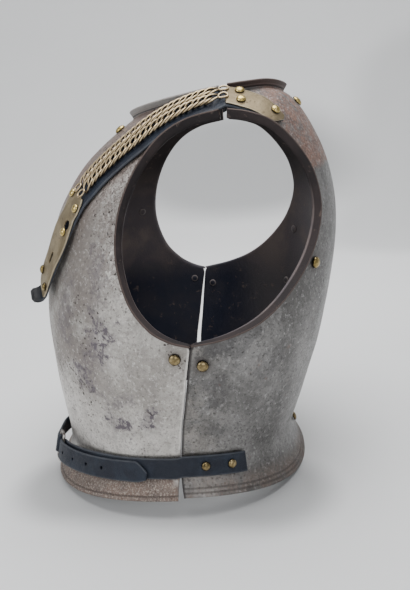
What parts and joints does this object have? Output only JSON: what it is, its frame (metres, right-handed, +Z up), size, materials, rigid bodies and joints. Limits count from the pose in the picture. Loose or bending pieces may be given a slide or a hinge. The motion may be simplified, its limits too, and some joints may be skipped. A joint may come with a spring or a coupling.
{
  "type": "cuirass",
  "caption": "Steel breastplate and backplate joined by chain-covered shoulder straps and a buckled leather waist belt, standing on its lower edges.",
  "frame": {"origin": "on the floor under the middle of the overall box: the lower edges of both plates stand at Z = 0", "axes": "+Z up, -Y towards the wearer's front (breastplate), +X towards the wearer's left"},
  "size_m": [0.3726, 0.3488, 0.432],
  "materials": {
    "breast_steel": "worn polished steel with small dark pits and stains, rusty flanges",
    "back_steel": "darker mottled steel with rust on the upper back",
    "leather": "semi-gloss blue-black leather with worn edges",
    "chain_brass": "pale gold brass links with dark hollows",
    "plate_brass": "matt tan brass sheet",
    "stud_brass": "pale gold domed brass",
    "buckle_iron": "dull iron wire, worn bright at the corners"
  },
  "bodies": {
    "root": {"back_stud_arm_left": "stud_brass", "back_stud_arm_right": "stud_brass", "back_stud_neck_left": "stud_brass", "back_stud_neck_right": "stud_brass", "back_stud_side_left": "stud_brass", "back_stud_side_right": "stud_brass", "back_stud_waist": "stud_brass", "backplate": "back_steel", "belt_left": "leather", "belt_right": "leather", "belt_stud_1_left": "stud_brass", "belt_stud_1_right": "stud_brass", "belt_stud_2_left": "stud_brass", "belt_stud_2_right": "stud_brass", "breast_stud_neck_left": "stud_brass", "breast_stud_neck_right": "stud_brass", "breast_stud_side_left": "stud_brass", "breast_stud_side_right": "stud_brass", "breastplate": "breast_steel", "buckle_frame": "buckle_iron", "buckle_prong": "buckle_iron", "chain_inner_left": "chain_brass", "chain_inner_right": "chain_brass", "chain_outer_left": "chain_brass", "chain_outer_right": "chain_brass", "front_plate_left": "plate_brass", "front_plate_right": "plate_brass", "front_plate_stud_1_left": "stud_brass", "front_plate_stud_1_right": "stud_brass", "front_plate_stud_2_left": "stud_brass", "front_plate_stud_2_right": "stud_brass", "front_plate_stud_3_left": "stud_brass", "front_plate_stud_3_right": "stud_brass", "front_plate_stud_4_left": "stud_brass", "front_plate_stud_4_right": "stud_brass", "rear_plate_left": "plate_brass", "rear_plate_right": "plate_brass", "rear_plate_stud_1_left": "stud_brass", "rear_plate_stud_1_right": "stud_brass", "rear_plate_stud_2_left": "stud_brass", "rear_plate_stud_2_right": "stud_brass", "rear_plate_stud_3_left": "stud_brass", "rear_plate_stud_3_right": "stud_brass", "strap_button_left": "stud_brass", "strap_button_right": "stud_brass", "strap_leather_left": "leather", "strap_leather_right": "leather"}
  },
  "joints": []
}
